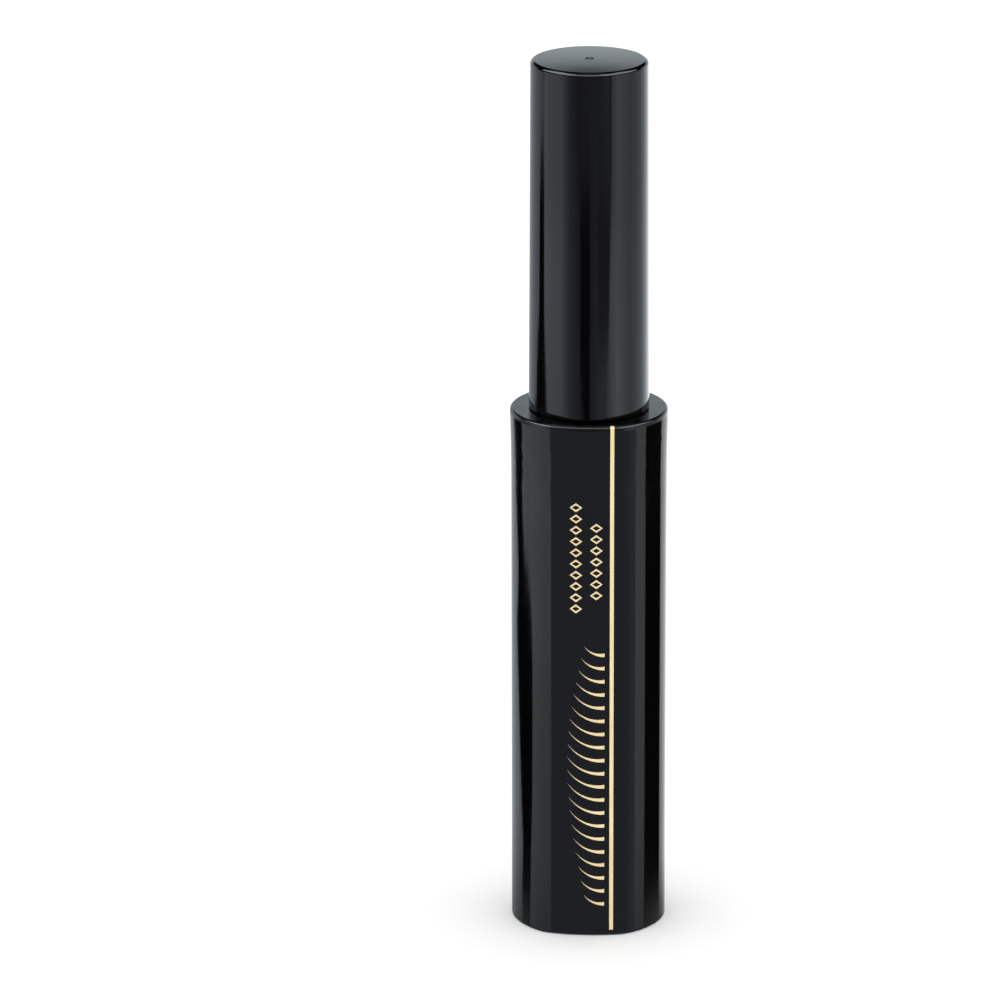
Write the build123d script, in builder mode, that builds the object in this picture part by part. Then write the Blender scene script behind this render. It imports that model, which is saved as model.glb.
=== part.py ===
"""Mascara tube: a threaded inner bottle in a decorative sleeve, closed by a screw cap that carries the wand.

Millimetres. The origin is the middle of the underside, on the tube's axis. +Z is up, and the front is -Y.
Every piece is drawn where it stands with the cap screwed down and the brush inside the bottle.
"""

from build123d import *

import os
from math import asin, cos, pi, sin, sqrt

# Outer section: a circle with a gently bowed panel on the front and another on the back
side_r = 9.95
panel_r = 19.9
panel_apex = 9.25
panel_corner_r = 4.0

# Sleeve
sleeve_h = 68.0
sleeve_wall = 1.0
sleeve_floor = 1.2
sleeve_foot_r = 0.25
flare_start_z = 58.0
flare_grow = 0.15
flare_steps = 4
foot_recess = 0.3
foot_ring_w = 1.6

# Bottle shoulder, flush with the flared end of the sleeve
shoulder_h = 0.65
shoulder_edge_r = 0.4
shoulder_top = sleeve_h + shoulder_h

# Bottle body, neck and neck thread
bottle_r = 8.0
bottle_wall = 1.1
bottle_bottom_z = 1.6
bottle_floor = 1.4
bottle_cavity_top = 66.9
bottle_edge_r = 1.2
neck_r = 4.5
neck_bore_r = 3.6
neck_top = 80.0
neck_bead_r = 5.2
neck_bead_h = 0.9

# Thread shared by the neck and the inner cap
thread_pitch = 2.5
thread_turns = 1.5
thread_h = thread_pitch * thread_turns
thread_base_w = 1.1
thread_crest_w = 0.5
thread_root_bury = 0.12
neck_crest_r = 4.93
neck_thread_z = 73.4
cap_crest_r = 4.98
cap_root_r = 5.45
cap_thread_z = neck_thread_z + thread_pitch / 2

# Wiper pressed into the neck
wiper_flange_r = 4.4
wiper_flange_h = 0.5
wiper_wall = 0.55
wiper_len = 9.0
wiper_cone_h = 3.0
wiper_orifice_r = 2.03
wiper_lip_h = 0.8
wiper_top = neck_top + wiper_flange_h

# Wand stem
stem_r = 1.975
nose_r = 1.5
nose_edge = 0.25
nose_z = 33.0
nose_h = 2.7
parting_z = 36.3
parting_w = 0.12
parting_depth = 0.05
collar_r = 3.2
collar_h = 0.7
head_r = 2.2
head_h = 6.0
head_chamfer = 0.4
wire_hole_depth = 5.0

# Sealing washer under the ceiling of the inner cap
liner_h = 0.8
liner_bore_r = 3.3
liner_r = 5.3
ceiling_z = wiper_top + liner_h

# Cap shell
cap_gap = 0.14
cap_rim_z = shoulder_top + cap_gap
cap_top = 114.2
cap_rim_r = 7.7
cap_end_r = 7.47
cap_wall = 0.6
cap_end_wall = 1.2
cap_dome = 0.12
cap_edge_r = 0.52
cap_rim_edge = 0.1
gate_r = 0.55
gate_depth = 0.1
gate_nub_r = 0.22
rib_count = 12
rib_w = 1.4
rib_tip_r = 5.95
rib_bury = 0.2
rib_recess = 0.25
rib_len = 20.0
rib_lead = 0.4

# Inner cap
inner_r = 5.9
inner_recess = 1.25
inner_mouth_chamfer = 0.3
inner_top = 84.6
socket_r = 3.4
socket_top = 89.0
inner_mouth_z = cap_rim_z + inner_recess

# Brush: one wire folded in half and twisted, with the bristles held between its strands
wire_r = 0.28
strand_offset = 0.3
twist_pitch = 3.35
wire_tip_z = 6.6
loop_h = 2.1
loop_half_w = 0.45
wire_top_z = nose_z + wire_hole_depth - 0.2
wire_hole_r = 0.62
bristle_r = 3.55
bristle_tip_r = 2.3
bristle_bottom_z = 7.2
bristle_top_z = 32.9
bristle_taper_h = 7.0
bristle_top_taper_h = 0.6
bristle_bore_r = 0.62
bristle_loop_bore_r = 0.8

# Mascara, with the channel that the brush keeps open
paste_channel_r = 3.75
paste_channel_z = 5.6
paste_top_z = 44.0
paste_gap = 0.02

# Gold foil stamped on the front panel
foil_t = 0.03
foil_line_x = 3.45
foil_line_w = 0.5
foil_bottom_z = 0.8
foil_wrap_angle = 75
foil_art_depth = 2.0
lash_count = 20
lash_low_z = 4.4
lash_high_z = 38.2
lash_root_x = 2.55
lash_root_w = 0.5
lash_longest = 4.8
lash_shortest = 2.6
lash_rise = 2.2
lash_bow = 0.8
lozenge_w = 1.6
lozenge_h = 1.2
lozenge_cut = 0.55
lozenge_pitch = 1.5
lozenge_columns = ((-1.12, 44.4, 10), (1.48, 46.2, 7))


def tube_section(grow):
    """Circle cut by the front and back panels, all moved outwards by grow."""
    Circle(side_r + grow)
    panel_centre = panel_r - panel_apex
    for side in (1, -1):
        with Locations((0, side * panel_centre)):
            Circle(panel_r + grow, mode=Mode.INTERSECT)


def soft_section(grow=0.0):
    """Tube section with the upright corners beside its panels rounded."""
    with BuildSketch(mode=Mode.PRIVATE) as sketch:
        tube_section(grow)
        fillet(sketch.vertices(), panel_corner_r)
    return sketch.sketch


def flare_places():
    """Outward growth and height of each section through the flare under the shoulder."""
    shares = [step / flare_steps for step in range(flare_steps + 1)]
    return [(flare_grow * share**2, flare_start_z + share * (sleeve_h - flare_start_z)) for share in shares]


def thread_profile(root_r, crest_r, z):
    """Trapezoid of a thread in the XZ plane, its base buried in the wall that carries it."""
    towards_crest = 1 if crest_r > root_r else -1
    base_x = root_r - towards_crest * thread_root_bury
    Polyline(
        (base_x, z - thread_base_w / 2),
        (crest_r, z - thread_crest_w / 2),
        (crest_r, z + thread_crest_w / 2),
        (base_x, z + thread_base_w / 2),
        close=True,
    )


def lash_outline(root_z, length):
    """Pointed stroke that leaves the foil line side and curls upwards."""
    tip = (lash_root_x - length, root_z + lash_rise * length / lash_longest)
    low_root = (lash_root_x, root_z - lash_root_w / 2)
    high_root = (lash_root_x, root_z + lash_root_w / 2)
    middle_x = lash_root_x - length / 2
    middle_z = (root_z + tip[1]) / 2 - lash_bow * length / lash_longest
    ThreePointArc(low_root, (middle_x, middle_z - lash_root_w / 4), tip)
    ThreePointArc(tip, (middle_x, middle_z + lash_root_w / 4), high_root)
    Line(high_root, low_root)


def foil_line_face(lift):
    """Side view of the foil line's face that lies lift away from the sleeve, from its foot to the shoulder."""
    corners = [(0, foil_bottom_z), *flare_places(), (flare_grow, shoulder_top - shoulder_edge_r)]
    return [(x + lift, z) for x, z in corners]


def foil_line_outline():
    """Section of the foil line along its length: up the panel, out with the flare and over the rounded edge."""
    under = foil_line_face(0)
    over = foil_line_face(foil_t)
    edge_centre = (flare_grow - shoulder_edge_r, shoulder_top - shoulder_edge_r)
    under_arc = CenterArc(edge_centre, shoulder_edge_r, 0, foil_wrap_angle)
    over_arc = CenterArc(edge_centre, shoulder_edge_r + foil_t, 0, foil_wrap_angle)
    Polyline(*under)
    Polyline(*over)
    Line(under[0], over[0])
    Line(under_arc @ 1, over_arc @ 1)


def lozenge(width, height, mode=Mode.ADD):
    """Diamond standing on its lower corner."""
    Polygon((width / 2, 0), (0, height / 2), (-width / 2, 0), (0, -height / 2), mode=mode)


def cap_outline():
    """Half section of the cap shell: the inside, then the outside with its chamfered rim and low dome."""
    flat_z = cap_top - cap_dome
    edge_x = cap_end_r - cap_edge_r
    Polyline(
        (0, cap_top),
        (0, cap_top - cap_end_wall),
        (cap_end_r - cap_wall, cap_top - cap_end_wall),
        (cap_rim_r - cap_wall, cap_rim_z),
        (cap_rim_r - cap_rim_edge, cap_rim_z),
        (cap_rim_r, cap_rim_z + cap_rim_edge),
        (cap_end_r, flat_z - cap_edge_r),
    )
    CenterArc((edge_x, flat_z - cap_edge_r), cap_edge_r, 0, 90)
    dome_r = (edge_x**2 + cap_dome**2) / (2 * cap_dome)
    middle_x = edge_x / 2
    ThreePointArc((edge_x, flat_z), (middle_x, cap_top - dome_r + sqrt(dome_r**2 - middle_x**2)), (0, cap_top))


def inner_cap_outline():
    """Half section of the inner cap: threaded bore below the ceiling and a blind socket above it."""
    Polyline(
        (cap_root_r, inner_mouth_z + inner_mouth_chamfer),
        (cap_root_r + inner_mouth_chamfer, inner_mouth_z),
        (inner_r, inner_mouth_z),
        (inner_r, inner_top),
        (socket_r, inner_top),
        (socket_r, socket_top),
        (0, socket_top),
        (0, ceiling_z + head_h),
        (head_r, ceiling_z + head_h),
        (head_r, ceiling_z),
        (cap_root_r, ceiling_z),
        close=True,
    )


def stem_outline():
    """Half section of the wand stem, from its nose up to the head held in the inner cap."""
    Polyline(
        (0, nose_z),
        (nose_r - nose_edge, nose_z),
        (nose_r, nose_z + nose_edge),
        (stem_r, nose_z + nose_h),
        (stem_r, parting_z - parting_w / 2),
        (stem_r - parting_depth, parting_z),
        (stem_r, parting_z + parting_w / 2),
        (stem_r, ceiling_z - collar_h),
        (collar_r, ceiling_z - collar_h),
        (collar_r, ceiling_z),
        (head_r, ceiling_z),
        (head_r, ceiling_z + head_h - head_chamfer),
        (head_r - head_chamfer, ceiling_z + head_h),
        (0, ceiling_z + head_h),
        close=True,
    )


def bristle_outline():
    """Half section of the space that the bristles fill round the wire."""
    loop_top_z = wire_tip_z + loop_h
    Polyline(
        (bristle_loop_bore_r, bristle_bottom_z),
        (bristle_tip_r, bristle_bottom_z),
        (bristle_r, bristle_bottom_z + bristle_taper_h),
        (bristle_r, bristle_top_z - bristle_top_taper_h),
        (bristle_r - bristle_top_taper_h, bristle_top_z),
        (bristle_bore_r, bristle_top_z),
        (bristle_bore_r, loop_top_z),
        (bristle_loop_bore_r, loop_top_z),
        close=True,
    )


def save(piece, name):
    """Labels a finished piece and writes its STEP file."""
    piece.part.label = name
    export_step(piece.part, f"parts/{name}.step")


os.makedirs("parts", exist_ok=True)

# Sleeve: a closed-bottomed tube that flares slightly under the shoulder
with BuildPart() as outer_sleeve:
    with BuildSketch(Plane.XY):
        add(soft_section())
    extrude(amount=flare_start_z)
    fillet(outer_sleeve.faces().sort_by(Axis.Z)[0].edges(), sleeve_foot_r)
    for grow, z in flare_places():
        with BuildSketch(Plane.XY.offset(z)):
            add(soft_section(grow))
    loft()
    with BuildSketch(Plane.XY.offset(sleeve_floor)):
        tube_section(-sleeve_wall)
    extrude(amount=sleeve_h - sleeve_floor, mode=Mode.SUBTRACT)
    with BuildSketch(Plane.XY):
        tube_section(-foot_ring_w)
    extrude(amount=foot_recess, mode=Mode.SUBTRACT)
save(outer_sleeve, "outer_sleeve")

# Bottle: round body, shoulder plate with the tube's section, neck with its thread
with BuildPart() as bottle:
    with BuildSketch(Plane.XY.offset(bottle_bottom_z)):
        Circle(bottle_r)
    extrude(amount=sleeve_h - bottle_bottom_z)
    fillet(bottle.faces().sort_by(Axis.Z)[0].edges(), bottle_edge_r)
    with BuildSketch(Plane.XY.offset(sleeve_h)):
        add(soft_section(flare_grow))
    extrude(amount=shoulder_h)
    fillet(bottle.faces().sort_by(Axis.Z)[-1].edges(), shoulder_edge_r)
    with BuildSketch(Plane.XY.offset(shoulder_top)):
        Circle(neck_r)
    extrude(amount=neck_top - shoulder_top)
    with BuildSketch(Plane.XY.offset(shoulder_top)):
        Circle(neck_bead_r)
    extrude(amount=neck_bead_h)
    with BuildSketch(Plane.XY.offset(bottle_bottom_z + bottle_floor)):
        Circle(bottle_r - bottle_wall)
    extrude(amount=bottle_cavity_top - bottle_bottom_z - bottle_floor, mode=Mode.SUBTRACT)
    with BuildSketch(Plane.XY.offset(bottle_cavity_top)):
        Circle(neck_bore_r)
    extrude(amount=neck_top - bottle_cavity_top, mode=Mode.SUBTRACT)
    with BuildLine():
        neck_helix = Helix(pitch=thread_pitch, height=thread_h, radius=neck_r, center=(0, 0, neck_thread_z))
    with BuildSketch(Plane.XZ):
        with BuildLine():
            thread_profile(neck_r, neck_crest_r, neck_thread_z)
        make_face()
    sweep(path=neck_helix, is_frenet=True)
save(bottle, "bottle")

# Wiper: a soft sleeve with a flange on the neck's rim and a cone down to the orifice round the stem
with BuildPart() as wiper:
    with BuildSketch(Plane.XZ):
        with BuildLine():
            bore_r = neck_bore_r - wiper_wall
            tube_end_z = wiper_top - wiper_len
            lip_z = tube_end_z - wiper_cone_h
            Polyline(
                (bore_r, wiper_top),
                (wiper_flange_r, wiper_top),
                (wiper_flange_r, neck_top),
                (neck_bore_r, neck_top),
                (neck_bore_r, tube_end_z),
                (wiper_orifice_r + wiper_wall, lip_z),
                (wiper_orifice_r, lip_z),
                (wiper_orifice_r, lip_z + wiper_lip_h),
                (bore_r, tube_end_z),
                close=True,
            )
        make_face()
    revolve(axis=Axis.Z)
save(wiper, "wiper")

# Mascara: fills the bottle round the channel left by the brush
with BuildPart() as mascara_paste:
    paste_r = bottle_r - bottle_wall - paste_gap
    paste_bottom_z = bottle_bottom_z + bottle_floor + paste_gap
    with BuildSketch(Plane.XY.offset(paste_bottom_z)):
        Circle(paste_r)
    extrude(amount=paste_top_z - paste_bottom_z)
    with BuildSketch(Plane.XY.offset(paste_channel_z)):
        Circle(paste_channel_r)
    extrude(amount=paste_top_z - paste_channel_z, mode=Mode.SUBTRACT)
save(mascara_paste, "mascara_paste")

# Gold foil on the front panel: a fan of lash strokes, two columns of lozenges and a line over the shoulder
with BuildPart() as gold_foil:
    panel_centre = panel_r - panel_apex
    with BuildSketch(Plane.XY.offset(foil_bottom_z)):
        with Locations((0, panel_centre)):
            Circle(panel_r + foil_t)
            Circle(panel_r, mode=Mode.SUBTRACT)
        with Locations((0, -panel_apex)):
            Rectangle(side_r, foil_art_depth, mode=Mode.INTERSECT)
    extrude(amount=sleeve_h - foil_bottom_z)
    with BuildSketch(Plane.XZ.offset(panel_apex - foil_art_depth / 2)):
        for step in range(lash_count):
            share = step / (lash_count - 1)
            length = lash_shortest + (lash_longest - lash_shortest) * sin(pi * share)
            with BuildLine():
                lash_outline(lash_low_z + share * (lash_high_z - lash_low_z), length)
            make_face()
        for column_x, first_z, count in lozenge_columns:
            places = [(column_x, first_z + n * lozenge_pitch) for n in range(count)]
            with Locations(*places):
                lozenge(lozenge_w, lozenge_h)
            with Locations(*places):
                lozenge(lozenge_w - lozenge_cut, lozenge_h - lozenge_cut, Mode.SUBTRACT)
    extrude(amount=foil_art_depth, mode=Mode.INTERSECT)
    lean = asin(foil_line_x / panel_r)
    outward = Vector(sin(lean), -cos(lean), 0)
    foot = (foil_line_x, panel_centre - panel_r * cos(lean), 0)
    with BuildSketch(Plane(origin=foot, x_dir=outward, z_dir=outward.cross(Vector(0, 0, 1)))):
        with BuildLine():
            foil_line_outline()
        make_face()
    extrude(amount=foil_line_w / 2, both=True)
save(gold_foil, "gold_foil")

# Cap shell: slightly tapered cover, closed on top, with ribs inside that grip the inner cap
with BuildPart() as cap_shell:
    with BuildSketch(Plane.XZ):
        with BuildLine():
            cap_outline()
        make_face()
    revolve(axis=Axis.Z)
    rib_z = cap_rim_z + rib_recess
    rib_depth = cap_rim_r - cap_wall + rib_bury - rib_tip_r
    with BuildSketch(Plane.XY.offset(rib_z)):
        with PolarLocations(rib_tip_r + rib_depth / 2, rib_count):
            Rectangle(rib_depth, rib_w)
    extrude(amount=rib_len)
    with BuildSketch(Plane.XZ):
        with Locations((rib_tip_r, rib_z)):
            Polygon((0, rib_lead), (-rib_lead, 0), (0, -rib_lead), (rib_lead, 0), align=None)
    revolve(axis=Axis.Z, mode=Mode.SUBTRACT)
    with BuildSketch(Plane.XY.offset(cap_top)):
        Circle(gate_r)
        Circle(gate_nub_r, mode=Mode.SUBTRACT)
    extrude(amount=-gate_depth, mode=Mode.SUBTRACT)
save(cap_shell, "cap_shell")

# Inner cap: screws onto the neck and holds the wand
with BuildPart() as inner_cap:
    with BuildSketch(Plane.XZ):
        with BuildLine():
            inner_cap_outline()
        make_face()
    revolve(axis=Axis.Z)
    with BuildLine():
        cap_helix = Helix(pitch=thread_pitch, height=thread_h, radius=cap_root_r, center=(0, 0, cap_thread_z))
    with BuildSketch(Plane.XZ):
        with BuildLine():
            thread_profile(cap_root_r, cap_crest_r, cap_thread_z)
        make_face()
    sweep(path=cap_helix, is_frenet=True)
save(inner_cap, "inner_cap")

# Sealing washer between the inner cap's ceiling and the wiper's flange
with BuildPart() as cap_liner:
    with BuildSketch(Plane.XY.offset(wiper_top)):
        Circle(liner_r)
        Circle(liner_bore_r, mode=Mode.SUBTRACT)
    extrude(amount=liner_h)
save(cap_liner, "cap_liner")

# Wand stem, with the blind hole in its nose that holds the twisted wire
with BuildPart() as wand_stem:
    with BuildSketch(Plane.XZ):
        with BuildLine():
            stem_outline()
        make_face()
    revolve(axis=Axis.Z)
    with BuildSketch(Plane.XY.offset(nose_z)):
        Circle(wire_hole_r)
    extrude(amount=wire_hole_depth, mode=Mode.SUBTRACT)
save(wand_stem, "wand_stem")

# Brush wire: two left-hand twisted strands joined by the loop at the brush's tip
twist_z = wire_tip_z + loop_h
with BuildPart() as strand:
    with BuildLine():
        twist = Helix(twist_pitch, wire_top_z - twist_z, strand_offset, center=(0, 0, twist_z), lefthand=True)
    with BuildSketch(Plane(origin=twist @ 0, z_dir=twist % 0)):
        Circle(wire_r)
    sweep(path=twist, is_frenet=True)
with BuildPart() as brush_wire:
    add(strand.part)
    add(strand.part.rotate(Axis.Z, 180))
    with BuildLine():
        loop = Spline(
            (strand_offset, 0, twist_z),
            (loop_half_w, 0, twist_z - loop_h / 2),
            (0, 0, wire_tip_z + wire_r),
            (-loop_half_w, 0, twist_z - loop_h / 2),
            (-strand_offset, 0, twist_z),
        )
    with BuildSketch(Plane(origin=loop @ 0, z_dir=loop % 0)):
        Circle(wire_r)
    sweep(path=loop)
save(brush_wire, "brush_wire")

# Bristles, as the solid of revolution that their tips sweep out
with BuildPart() as bristles:
    with BuildSketch(Plane.XZ):
        with BuildLine():
            bristle_outline()
        make_face()
    revolve(axis=Axis.Z)
save(bristles, "bristles")
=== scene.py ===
"""Looks of the mascara tube: studio, camera, materials for the moulded pieces, and the fibre brush.

Lengths are in metres and angles in degrees, unless a name says otherwise.
"""

import math
import random

import bpy
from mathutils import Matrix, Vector


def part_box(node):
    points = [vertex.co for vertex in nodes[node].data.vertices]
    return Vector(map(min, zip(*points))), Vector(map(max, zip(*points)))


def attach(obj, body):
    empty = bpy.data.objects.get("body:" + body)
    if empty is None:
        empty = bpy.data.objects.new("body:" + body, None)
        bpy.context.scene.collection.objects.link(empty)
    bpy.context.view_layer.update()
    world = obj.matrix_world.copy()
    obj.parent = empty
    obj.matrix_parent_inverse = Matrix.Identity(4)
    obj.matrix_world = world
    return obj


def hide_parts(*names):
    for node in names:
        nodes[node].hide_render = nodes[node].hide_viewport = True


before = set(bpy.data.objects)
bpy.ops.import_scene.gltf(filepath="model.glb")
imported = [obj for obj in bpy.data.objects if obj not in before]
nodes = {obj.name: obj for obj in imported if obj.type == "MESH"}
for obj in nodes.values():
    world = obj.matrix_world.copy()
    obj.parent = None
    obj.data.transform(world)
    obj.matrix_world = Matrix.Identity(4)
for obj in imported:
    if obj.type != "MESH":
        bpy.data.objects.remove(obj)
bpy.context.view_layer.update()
MM = 0.001

# Places read from the frame
wire_low, wire_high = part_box("brush_wire")
brush_low, brush_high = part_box("bristles")


# Camera: degrees and metres, turned a little to the right of the tube's front
CAMERA_LENS = 257.9
CAMERA_AWAY = 0.8752
CAMERA_Z = 0.3305
CAMERA_TURN = 3.3
CAMERA_PITCH = 17.41
CAMERA_YAW = 0.705
CAMERA_ROLL = 0.13

# Studio cove: one layer lies in front of the next, and its lights sit between these heights
COVE_R = 0.6
COVE_LAYER = 0.01
COVE_STEPS = 24
COVE_TOP = 1.6
FLOOR_Z = -0.5
BELT_Z = -0.112
CROWN_Z = 0.16
TOP_BOX_R = 0.16
TOP_BOX_Z = 0.75
TOP_BOX_GLOW = 0.6
DISC_SIDES = 48

# Floor and world
FLOOR_HALF = 6.0
FLOOR_ALBEDO = 0.95
WORLD_STRENGTH = 1.22

# Tints of the lights
WHITE = (1.0, 1.0, 1.0)
COOL = (0.93, 1.0, 1.05)
BLUE = (0.93, 0.98, 1.2)
SKY = (0.9, 1.0, 1.06)
PALE = (0.97, 1.0, 1.04)
ICE = (0.9, 1.01, 1.11)


# ---------------------------------------------------------------- studio


def only_glossy(piece):
    """Makes a studio surface show in reflections and nowhere else."""
    piece.visible_camera = False
    piece.visible_diffuse = False
    piece.visible_transmission = False
    piece.visible_volume_scatter = False
    piece.visible_shadow = False
    piece.visible_glossy = True


def emitter(name, tint):
    """Glowing paper whose strength is stored in the mesh, so that it can fade across a patch."""
    material = bpy.data.materials.new(name)
    material.use_nodes = True
    tree = material.node_tree
    tree.nodes.clear()
    level = tree.nodes.new("ShaderNodeAttribute")
    level.attribute_name = "glow"
    glow = tree.nodes.new("ShaderNodeEmission")
    glow.inputs["Color"].default_value = (*tint, 1.0)
    tree.links.new(level.outputs["Fac"], glow.inputs["Strength"])
    out = tree.nodes.new("ShaderNodeOutputMaterial")
    tree.links.new(glow.outputs[0], out.inputs["Surface"])
    return material


def link_mesh(name, verts, faces):
    mesh = bpy.data.meshes.new(name)
    mesh.from_pydata(verts, [], faces)
    mesh.polygons.foreach_set("use_smooth", [True] * len(mesh.polygons))
    mesh.update()
    piece = bpy.data.objects.new(name, mesh)
    bpy.context.scene.collection.objects.link(piece)
    return piece


def light_up(piece, levels, tint):
    """Stores each vertex's glow and gives the piece its emitter."""
    glow = piece.data.attributes.new("glow", "FLOAT", "POINT")
    glow.data.foreach_set("value", levels)
    piece.data.materials.append(emitter(piece.name, tint))
    only_glossy(piece)


def cove_point(azimuth, z, radius):
    """Azimuth 0 is towards the camera, and +90 is on the camera's right."""
    a = math.radians(azimuth + CAMERA_TURN)
    return (radius * math.sin(a), -radius * math.cos(a), z)


def cove_patch(name, stops, tint=WHITE, layer=1):
    """Patch of the cove. Each stop is one level: height, left and right azimuth, glow at left and right."""
    radius = COVE_R - COVE_LAYER * layer
    verts, levels = [], []
    for z, left, right, glow_left, glow_right in stops:
        for n in range(COVE_STEPS + 1):
            share = n / COVE_STEPS
            verts.append(cove_point(left + (right - left) * share, z, radius))
            levels.append(glow_left + (glow_right - glow_left) * share)
    row = COVE_STEPS + 1
    faces = []
    for k in range(len(stops) - 1):
        for n in range(COVE_STEPS):
            a = k * row + n
            faces.append((a, a + 1, a + row + 1, a + row))
    light_up(link_mesh(name, verts, faces), levels, tint)


def upright(left, right, levels):
    """Stops of a patch with upright sides, from (height, glow at left, glow at right) levels."""
    return [(z, left, right, glow_left, glow_right) for z, glow_left, glow_right in levels]


def build_body_lights():
    """Softboxes and flags that the sleeve reflects at the camera's angle."""
    cove_patch("front_wash", upright(-38, 50, [(FLOOR_Z, 0.33, 0.33), (BELT_Z, 0.33, 0.33)]), BLUE)
    cove_patch("front_edge", upright(50, 73, [(FLOOR_Z, 0.33, 0.42), (BELT_Z, 0.33, 0.44)]), BLUE)
    left_box = [(FLOOR_Z, 0.5), (-0.221, 0.5), (-0.203, 0.76), (-0.166, 0.8)]
    left_box += [(-0.154, 1.0), (-0.136, 0.88), (BELT_Z, 1.15)]
    cove_patch("left_box", [(z, -100, -38, glow * 0.97, glow) for z, glow in left_box], COOL)
    left_wall = [(FLOOR_Z, 0.3), (-0.223, 0.3), (-0.207, 0.67), (-0.195, 0.81), (BELT_Z, 0.81)]
    cove_patch("left_wall", [(z, -180, -100, glow * 0.85, glow) for z, glow in left_wall], COOL)
    flag = [(-0.222, -116, -100, 0.3), (-0.209, -119, -97, 0.03), (-0.2, -115, -96, 0)]
    flag += [(-0.19, -121, -93, 0), (-0.166, -129, -92, 0), (-0.15, -136, -93, 0)]
    flag += [(-0.143, -130, -97, 0), (-0.137, -129, -103, 0), (-0.133, -132, -112, 0)]
    flag += [(-0.124, -136, -116, 0), (BELT_Z, -147, -120, 0)]
    cove_patch("left_flag", [(z, left, right, glow, glow) for z, left, right, glow in flag], WHITE, 2)
    right_box = [(FLOOR_Z, 0.55, 0.45), (-0.221, 0.57, 0.45), (-0.197, 0.82, 0.66)]
    right_box += [(-0.15, 0.9, 0.75), (BELT_Z, 0.88, 0.75)]
    cove_patch("right_box", upright(73, 92, right_box), COOL)
    foot = [(FLOOR_Z, 92, 134, 0.34, 0.24), (-0.221, 92, 134, 0.34, 0.24), (-0.213, 98, 130, 0, 0)]
    cove_patch("right_foot", foot, WHITE)
    right_edge = [(FLOOR_Z, 0.2, 0.6), (-0.221, 0.2, 0.6), (-0.207, 0.86, 1.4), (-0.15, 1.04, 1.4)]
    right_edge += [(BELT_Z, 0.95, 1.2)]
    cove_patch("right_edge", upright(133, 180, right_edge), WHITE)


def build_cap_left():
    """Left half of what the cap reflects: pale wall, black flag, softbox and its fall-off."""
    left_wall = [(BELT_Z, 0.5, 0.7), (-0.08, 0.62, 0.76), (-0.045, 0.66, 0.68), (CROWN_Z, 0.66, 0.68)]
    cove_patch("cap_left_wall", upright(-180, -97, left_wall), ICE)
    flag = [(BELT_Z, -129, -85, 0), (-0.099, -128, -86, 0), (-0.096, -120, -89, 0), (-0.084, -118, -93, 0)]
    flag += [(-0.08, -112, -96, 0), (-0.052, -111, -97, 0), (-0.043, -109, -99, 0.08)]
    flag += [(-0.038, -106, -102, 0.5)]
    cove_patch("cap_left_flag", [(z, left, right, glow, glow) for z, left, right, glow in flag], WHITE, 2)
    left_box = [(BELT_Z, 1.05, 1.15), (-0.07, 1.2, 1.22), (-0.05, 1.0, 0.98), (CROWN_Z, 1.0, 0.98)]
    cove_patch("cap_left_box", upright(-97, -56, left_box), ICE)
    left_fall = [(BELT_Z, 1.12, 0.47), (-0.06, 1.1, 0.42), (-0.046, 0.95, 0.33), (CROWN_Z, 0.95, 0.33)]
    cove_patch("cap_left_fall", upright(-56, -38, left_fall), BLUE)
    front = [(BELT_Z, -38, -7, 0.47, 0.17), (-0.1, -38, -10, 0.45, 0.17), (-0.09, -38, -17, 0.44, 0.24)]
    front += [(-0.06, -38, -17, 0.42, 0.18), (-0.045, -38, -17, 0.33, 0.13), (CROWN_Z, -38, -17, 0.33, 0.13)]
    cove_patch("cap_front_left", front, BLUE)
    gap = [(-0.08, 0.0, 0.0), (-0.055, 0.02, 0.02), (-0.046, 0.2, 0.19), (CROWN_Z, 0.2, 0.19)]
    cove_patch("cap_front_gap", upright(-17, 1, gap), BLUE)


def build_cap_right():
    """Right half of what the cap reflects: dim front, softbox, its fall-off and the bright rim."""
    front = [(BELT_Z, 0.2, 0.38), (-0.094, 0.19, 0.4), (-0.07, 0.19, 0.26), (-0.045, 0.21, 0.23)]
    front += [(CROWN_Z, 0.21, 0.23)]
    cove_patch("cap_front_mid", upright(1, 17, front), BLUE)
    side = [(BELT_Z, 0.45, 0.52), (-0.088, 0.42, 0.55), (-0.081, 0.14, 0.12), (-0.055, 0.15, 0.15)]
    side += [(-0.045, 0.2, 0.34), (CROWN_Z, 0.2, 0.34)]
    cove_patch("cap_front_right", upright(17, 40, side), BLUE)
    right_box = [(BELT_Z, 34, 58, 0.74, 1.6), (-0.086, 34, 58, 0.74, 1.55), (-0.078, 38, 58, 1.0, 1.4)]
    right_box += [(-0.062, 40, 58, 1.12, 1.26), (-0.052, 42, 58, 0.6, 1.15), (CROWN_Z, 42, 58, 0.48, 1.15)]
    cove_patch("cap_right_box", right_box, PALE, 2)
    right_fall = [(BELT_Z, 1.5, 0.72), (-0.07, 1.2, 0.7), (-0.05, 1.07, 0.68), (CROWN_Z, 1.07, 0.68)]
    cove_patch("cap_right_fall", upright(58, 84, right_fall), COOL)
    right_wall = [(BELT_Z, 0.72, 1.0), (-0.07, 0.7, 0.82), (-0.045, 0.64, 0.68), (CROWN_Z, 0.64, 0.68)]
    cove_patch("cap_right_wall", upright(84, 118, right_wall), COOL)
    right_edge = [(BELT_Z, 1.0, 2.1), (-0.07, 0.86, 2.0), (-0.045, 0.74, 1.6), (CROWN_Z, 0.74, 1.6)]
    cove_patch("cap_right_edge", upright(118, 152, right_edge), COOL)
    cove_patch("cap_right_end", upright(152, 180, [(BELT_Z, 2.0, 2.0), (CROWN_Z, 1.5, 1.5)]), COOL)


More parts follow.
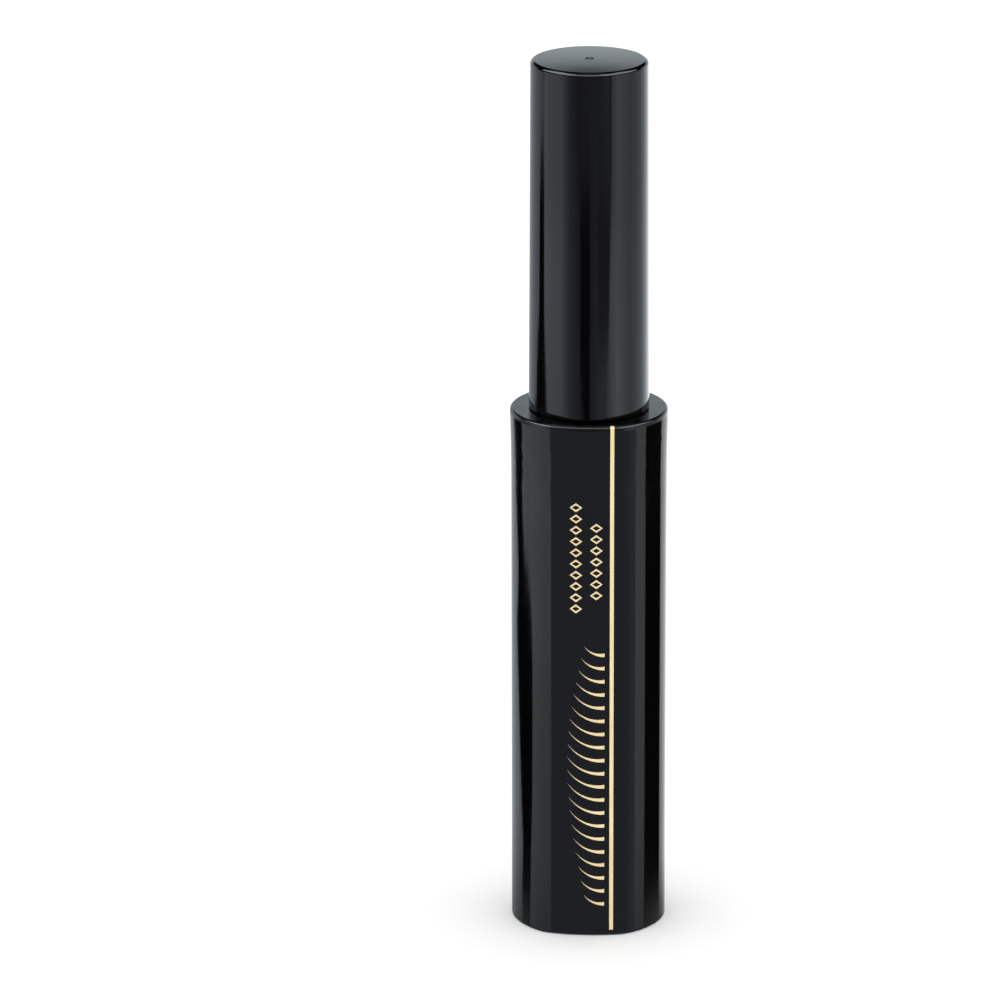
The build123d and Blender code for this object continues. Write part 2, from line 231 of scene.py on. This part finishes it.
def build_high_lights():
    """Back wall seen in the level tops, and the raised boxes seen in the rounded edges."""
    back = [(0.17, 0.95, 0.95), (0.222, 0.95, 0.95), (0.262, 0.8, 0.8), (0.283, 0.56, 0.56)]
    back += [(0.297, 0.25, 0.25), (0.31, 0.0, 0.0)]
    cove_patch("back_wall", upright(120, 240, back), SKY, 2)
    left_key = [(0.34, 3.5, 3.5), (0.4, 5.2, 5.2), (1.2, 5.2, 4.2)]
    cove_patch("left_key", upright(-112, -38, left_key), COOL, 3)
    front_key = [(0.36, 2.2, 2.2), (0.42, 3.8, 3.8), (0.82, 3.8, 3.8)]
    cove_patch("front_key", upright(-38, 30, front_key), WHITE, 3)
    right_key = [(0.34, 2.8, 2.2), (0.4, 4.6, 3.6), (1.2, 4.6, 3.0)]
    cove_patch("right_key", upright(30, 112, right_key), COOL, 3)


def build_cove():
    """Dark round wall of the studio with everything that the gloss reflects."""
    cove_patch("cove_wall", upright(-180, 180, [(-0.9, 0, 0), (COVE_TOP, 0, 0)]), WHITE, 0)
    cove_disc("cove_lid", COVE_R, COVE_TOP, 0.0)
    cove_disc("top_box", TOP_BOX_R, TOP_BOX_Z, TOP_BOX_GLOW)
    build_body_lights()
    build_cap_left()
    build_cap_right()
    build_high_lights()


def cove_disc(name, radius, z, level):
    """Level disc over the tube: the dark lid of the cove, or the softbox under it."""
    turns = [2 * math.pi * n / DISC_SIDES for n in range(DISC_SIDES)]
    verts = [(radius * math.cos(a), radius * math.sin(a), z) for a in turns]
    piece = link_mesh(name, verts, [tuple(range(DISC_SIDES))])
    light_up(piece, [level] * DISC_SIDES, WHITE)


def build_floor():
    material = bpy.data.materials.new("floor_paper")
    material.use_nodes = True
    bsdf = material.node_tree.nodes["Principled BSDF"]
    bsdf.inputs["Base Color"].default_value = (FLOOR_ALBEDO, FLOOR_ALBEDO, FLOOR_ALBEDO, 1.0)
    bsdf.inputs["Roughness"].default_value = 0.9
    bsdf.inputs["Specular IOR Level"].default_value = 0.1
    corners = [(-FLOOR_HALF, -FLOOR_HALF, 0), (FLOOR_HALF, -FLOOR_HALF, 0)]
    corners += [(FLOOR_HALF, FLOOR_HALF, 0), (-FLOOR_HALF, FLOOR_HALF, 0)]
    floor = link_mesh("floor", corners, [(0, 1, 2, 3)])
    floor.data.materials.append(material)
    floor.visible_glossy = False


def build_world():
    world = bpy.data.worlds.new("studio")
    world.use_nodes = True
    background = world.node_tree.nodes["Background"]
    background.inputs["Color"].default_value = (1.0, 1.0, 1.0, 1.0)
    background.inputs["Strength"].default_value = WORLD_STRENGTH
    bpy.context.scene.world = world
    bpy.context.scene.view_settings.view_transform = "Standard"


def build_camera():
    data = bpy.data.cameras.new("camera")
    data.lens = CAMERA_LENS
    data.sensor_width = 36.0
    data.clip_end = 50.0
    camera = bpy.data.objects.new("camera", data)
    turn = math.radians(CAMERA_TURN)
    camera.location = (CAMERA_AWAY * math.sin(turn), -CAMERA_AWAY * math.cos(turn), CAMERA_Z)
    angles = (90 - CAMERA_PITCH, CAMERA_ROLL, CAMERA_YAW + CAMERA_TURN)
    camera.rotation_euler = [math.radians(angle) for angle in angles]
    bpy.context.scene.collection.objects.link(camera)
    bpy.context.scene.camera = camera


# ---------------------------------------------------------------- materials


class Graph:
    """Small helper that adds shader nodes to a material."""

    def __init__(self, name):
        self.material = bpy.data.materials.new(name)
        self.material.use_nodes = True
        self.tree = self.material.node_tree
        self.bsdf = self.tree.nodes["Principled BSDF"]
        self.place = self.tree.nodes.new("ShaderNodeTexCoord").outputs["Object"]

    def node(self, kind, **settings):
        made = self.tree.nodes.new(kind)
        for key, value in settings.items():
            setattr(made, key, value)
        return made

    def link(self, source, target):
        self.tree.links.new(source, target)

    def stretched(self, scale):
        mapping = self.node("ShaderNodeMapping")
        mapping.inputs["Scale"].default_value = scale
        self.link(self.place, mapping.inputs["Vector"])
        return mapping.outputs["Vector"]

    def noise(self, scale, stretch=(1, 1, 1), detail=3.0, roughness=0.5, distortion=0.0):
        made = self.node("ShaderNodeTexNoise")
        made.inputs["Scale"].default_value = scale
        made.inputs["Detail"].default_value = detail
        made.inputs["Roughness"].default_value = roughness
        made.inputs["Distortion"].default_value = distortion
        self.link(self.stretched(stretch), made.inputs["Vector"])
        return made.outputs["Fac"]

    def spots(self, scale, size):
        """1 in small sparse spots and 0 elsewhere."""
        cells = self.node("ShaderNodeTexVoronoi")
        cells.inputs["Scale"].default_value = scale
        self.link(self.place, cells.inputs["Vector"])
        return self.ramp(cells.outputs["Distance"], size, size * 0.5, 0.0, 1.0)

    def ramp(self, source, low, high, to_low, to_high):
        made = self.node("ShaderNodeMapRange")
        made.inputs["From Min"].default_value = low
        made.inputs["From Max"].default_value = high
        made.inputs["To Min"].default_value = to_low
        made.inputs["To Max"].default_value = to_high
        self.link(source, made.inputs["Value"])
        return made.outputs["Result"]

    def math(self, operation, a, b):
        made = self.node("ShaderNodeMath", operation=operation)
        for socket, value in zip(made.inputs, (a, b)):
            if isinstance(value, (int, float)):
                socket.default_value = value
            else:
                self.link(value, socket)
        return made.outputs[0]

    def tint(self, factor, dark, light):
        mix = self.node("ShaderNodeMix", data_type="RGBA")
        mix.inputs["A"].default_value = (*dark, 1.0)
        mix.inputs["B"].default_value = (*light, 1.0)
        self.link(factor, mix.inputs["Factor"])
        self.link(mix.outputs["Result"], self.bsdf.inputs["Base Color"])

    def bump(self, height, distance, strength=1.0):
        made = self.node("ShaderNodeBump")
        made.inputs["Distance"].default_value = distance
        made.inputs["Strength"].default_value = strength
        self.link(height, made.inputs["Height"])
        self.link(made.outputs["Normal"], self.bsdf.inputs["Normal"])


def polished_plastic(name, dark, light, gloss, flow, seed_shift):
    """Polished moulding: faint flow waves, hairline scratches and a little dust."""
    g = Graph(name)
    waves = g.noise(90 + seed_shift, (1, 1, 0.35), 2.0, 0.4, 0.6)
    peel = g.noise(900 + seed_shift, (1, 1, 0.6), 2.0)
    hair = g.noise(5200 + seed_shift, (1, 1, 0.012), 2.0, 0.5, 0.15)
    cross = g.noise(4100 + seed_shift, (0.03, 0.03, 1), 2.0, 0.5, 0.2)
    scratches = g.math("ADD", g.ramp(hair, 0.66, 0.74, 0.0, 1.0), g.ramp(cross, 0.69, 0.76, 0.0, 1.0))
    dust = g.spots(430, 0.035)
    g.tint(g.math("ADD", g.ramp(waves, 0.3, 0.7, 0.0, 0.6), g.math("MULTIPLY", dust, 0.4)), dark, light)
    rough = g.ramp(peel, 0.3, 0.7, gloss * 0.85, gloss * 1.15)
    rough = g.math("ADD", rough, g.math("MULTIPLY", scratches, 0.05))
    rough = g.math("ADD", rough, g.math("MULTIPLY", dust, 0.25))
    g.link(rough, g.bsdf.inputs["Roughness"])
    g.bsdf.inputs["IOR"].default_value = 1.5
    height = g.math("ADD", g.math("MULTIPLY", waves, flow), g.math("MULTIPLY", peel, 0.06))
    height = g.math("SUBTRACT", height, g.math("MULTIPLY", scratches, 0.015))
    g.bump(height, 0.00002)
    return g.material


def satin_plastic(name, dark, light, gloss, grain):
    """Moulded satin plastic with a fine grain and drag lines along its length."""
    g = Graph(name)
    fine = g.noise(3800, (1, 1, 1), 3.0)
    drag = g.noise(2600, (1, 1, 0.02), 2.0, 0.5, 0.1)
    broad = g.noise(210, (1, 1, 0.4), 2.0)
    g.tint(g.ramp(broad, 0.3, 0.7, 0.0, 1.0), dark, light)
    rough = g.ramp(fine, 0.3, 0.7, gloss - 0.06, gloss + 0.06)
    rough = g.math("ADD", rough, g.ramp(drag, 0.5, 0.75, 0.0, -0.08))
    g.link(rough, g.bsdf.inputs["Roughness"])
    g.bsdf.inputs["IOR"].default_value = 1.49
    g.bump(g.math("ADD", fine, g.math("MULTIPLY", drag, 0.8)), grain)
    return g.material


def soft_rubber(name, dark, light):
    g = Graph(name)
    fine = g.noise(2900, (1, 1, 1), 4.0, 0.6)
    g.tint(g.ramp(g.noise(320), 0.3, 0.7, 0.0, 1.0), dark, light)
    g.link(g.ramp(fine, 0.3, 0.7, 0.42, 0.6), g.bsdf.inputs["Roughness"])
    g.bump(fine, 0.000008)
    return g.material


def closed_foam(name, dark, light):
    """Pale foam washer with tiny cells."""
    g = Graph(name)
    cells = g.node("ShaderNodeTexVoronoi")
    cells.inputs["Scale"].default_value = 5200
    g.link(g.place, cells.inputs["Vector"])
    g.tint(cells.outputs["Distance"], dark, light)
    g.link(g.ramp(cells.outputs["Distance"], 0.0, 0.6, 0.75, 0.55), g.bsdf.inputs["Roughness"])
    g.bump(cells.outputs["Distance"], 0.00003)
    return g.material


def drawn_steel(name):
    g = Graph(name)
    lines = g.noise(9000, (1, 1, 0.2), 2.0)
    g.tint(g.ramp(g.noise(1500), 0.3, 0.7, 0.0, 1.0), (0.62, 0.62, 0.63), (0.78, 0.78, 0.78))
    g.bsdf.inputs["Metallic"].default_value = 1.0
    g.link(g.ramp(lines, 0.3, 0.7, 0.16, 0.3), g.bsdf.inputs["Roughness"])
    g.bump(lines, 0.000004)
    return g.material


def champagne_foil(name):
    """Hot-stamped foil: mostly diffuse pale gold with a faint metallic glint and a fine grain."""
    g = Graph(name)
    fine = g.noise(5200, (1, 1, 1), 3.0, 0.6)
    broad = g.noise(500, (1, 1, 0.5), 2.0)
    g.tint(g.ramp(broad, 0.3, 0.7, 0.0, 1.0), (0.9, 0.71, 0.38), (0.96, 0.79, 0.46))
    g.bsdf.inputs["Metallic"].default_value = 0.2
    g.link(g.ramp(fine, 0.3, 0.7, 0.32, 0.46), g.bsdf.inputs["Roughness"])
    g.bump(fine, 0.000003)
    return g.material


def wet_paste(name):
    g = Graph(name)
    lumps = g.noise(700, (1, 1, 1), 4.0, 0.6)
    g.tint(g.ramp(lumps, 0.3, 0.7, 0.0, 1.0), (0.0015, 0.0015, 0.002), (0.006, 0.006, 0.007))
    g.link(g.ramp(g.noise(1600), 0.3, 0.7, 0.12, 0.3), g.bsdf.inputs["Roughness"])
    g.bump(lumps, 0.00012)
    return g.material


def nylon_fibre(name):
    g = Graph(name)
    along = g.noise(2400, (1, 1, 1), 2.0)
    g.tint(g.ramp(along, 0.3, 0.7, 0.0, 1.0), (0.0015, 0.0015, 0.002), (0.006, 0.006, 0.008))
    g.link(g.ramp(along, 0.3, 0.7, 0.3, 0.45), g.bsdf.inputs["Roughness"])
    g.bump(along, 0.000004)
    return g.material


def dress(node, material):
    """Gives a CAD node its procedural material."""
    mesh = nodes[node].data
    mesh.materials.clear()
    mesh.materials.append(material)


def dress_cad_nodes():
    black = (0.0009, 0.0009, 0.001)
    dress("outer_sleeve", polished_plastic("sleeve_gloss", black, (0.0024, 0.0024, 0.0027), 0.075, 0.16, 0))
    dress("bottle", polished_plastic("bottle_gloss", black, (0.0026, 0.0026, 0.0028), 0.2, 0.12, 13))
    dress("cap_shell", polished_plastic("cap_gloss", black, (0.0024, 0.0024, 0.0026), 0.075, 0.2, 29))
    satin = (0.003, 0.003, 0.003)
    dress("inner_cap", satin_plastic("inner_cap_satin", satin, (0.007, 0.007, 0.007), 0.34, 0.000006))
    dress("wand_stem", satin_plastic("wand_matte", satin, (0.006, 0.006, 0.006), 0.42, 0.000008))
    dress("wiper", soft_rubber("wiper_soft", (0.006, 0.006, 0.007), (0.014, 0.014, 0.015)))
    dress("cap_liner", closed_foam("liner_foam", (0.5, 0.49, 0.46), (0.72, 0.71, 0.68)))
    dress("brush_wire", drawn_steel("wire_steel"))
    dress("gold_foil", champagne_foil("foil_gold"))
    dress("mascara_paste", wet_paste("paste_wet"))


# ---------------------------------------------------------------- brush


TWIST_PITCH = 3.35 * MM
FIBRE_PAIRS = 1500
FIBRE_R = 0.062 * MM
FIBRE_ROOT = 0.2 * MM
FIBRE_SIDES = 4
FIBRE_STEPS = 4


def add_fibre(verts, faces, points):
    """Tapered tube along points, closed at both ends."""
    base = len(verts)
    sides = FIBRE_SIDES
    for n, point in enumerate(points):
        ahead = points[min(n + 1, len(points) - 1)] - points[max(n - 1, 0)]
        side = ahead.orthogonal().normalized()
        other = ahead.cross(side).normalized()
        r = FIBRE_R * (1.0 - 0.35 * n / (len(points) - 1))
        for k in range(sides):
            turn = 2 * math.pi * k / sides
            verts.append(point + side * (r * math.cos(turn)) + other * (r * math.sin(turn)))
    for n in range(len(points) - 1):
        for k in range(sides):
            a = base + n * sides + k
            b = base + n * sides + (k + 1) % sides
            faces.append((a, b, b + sides, a + sides))
    faces.append(tuple(base + (len(points) - 1) * sides + k for k in range(sides)))
    faces.append(tuple(base + k for k in reversed(range(sides))))


def envelope(z):
    """Trimmed radius of the brush at height z: tapered over its lower end, full above."""
    full = brush_high.x
    low = brush_low.z
    taper = 7.0 * MM
    tip_share = 0.6
    if z < low + taper:
        share = max(0.0, (z - low) / taper)
        return full * (tip_share + (1 - tip_share) * math.sin(share * math.pi / 2))
    return full


def fibre_points(z, turn, reach, lift, bend):
    """Points along one fibre from the wire outwards, kept between the brush's two ends."""
    lowest = brush_low.z + 0.06 * MM
    highest = brush_high.z - 0.06 * MM
    points = []
    for k in range(FIBRE_STEPS + 1):
        share = k / FIBRE_STEPS
        a = turn + bend * share**2
        r = FIBRE_ROOT + (reach - FIBRE_ROOT) * share
        h = min(max(z + lift * share**1.6, lowest), highest)
        points.append(Vector((r * math.cos(a), r * math.sin(a), h)))
    return points


def build_bristles():
    """Double spiral of fibres that follows the twist of the wire."""
    rng = random.Random(20)
    twist_z = wire_low.z + 2.1 * MM
    low, high = brush_low.z + 0.2 * MM, brush_high.z - 0.25 * MM
    verts, faces = [], []
    for n in range(FIBRE_PAIRS):
        z = low + (high - low) * (n + rng.random()) / FIBRE_PAIRS
        angle = -2 * math.pi * (z - twist_z) / TWIST_PITCH + math.pi / 2
        for half in (0, math.pi):
            turn = angle + half + rng.gauss(0, 0.12)
            reach = min(envelope(z) * rng.uniform(0.9, 0.985), brush_high.x - 0.05 * MM)
            lift = rng.gauss(0, 0.16) * MM
            bend = rng.gauss(0, 0.07)
            add_fibre(verts, faces, fibre_points(z, turn, reach, lift, bend))
    piece = link_mesh("bristle_fibres", verts, faces)
    piece.data.materials.append(nylon_fibre("nylon_black"))
    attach(piece, "applicator")
    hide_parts("bristles")


build_camera()
build_world()
build_floor()
build_cove()
dress_cad_nodes()
build_bristles()
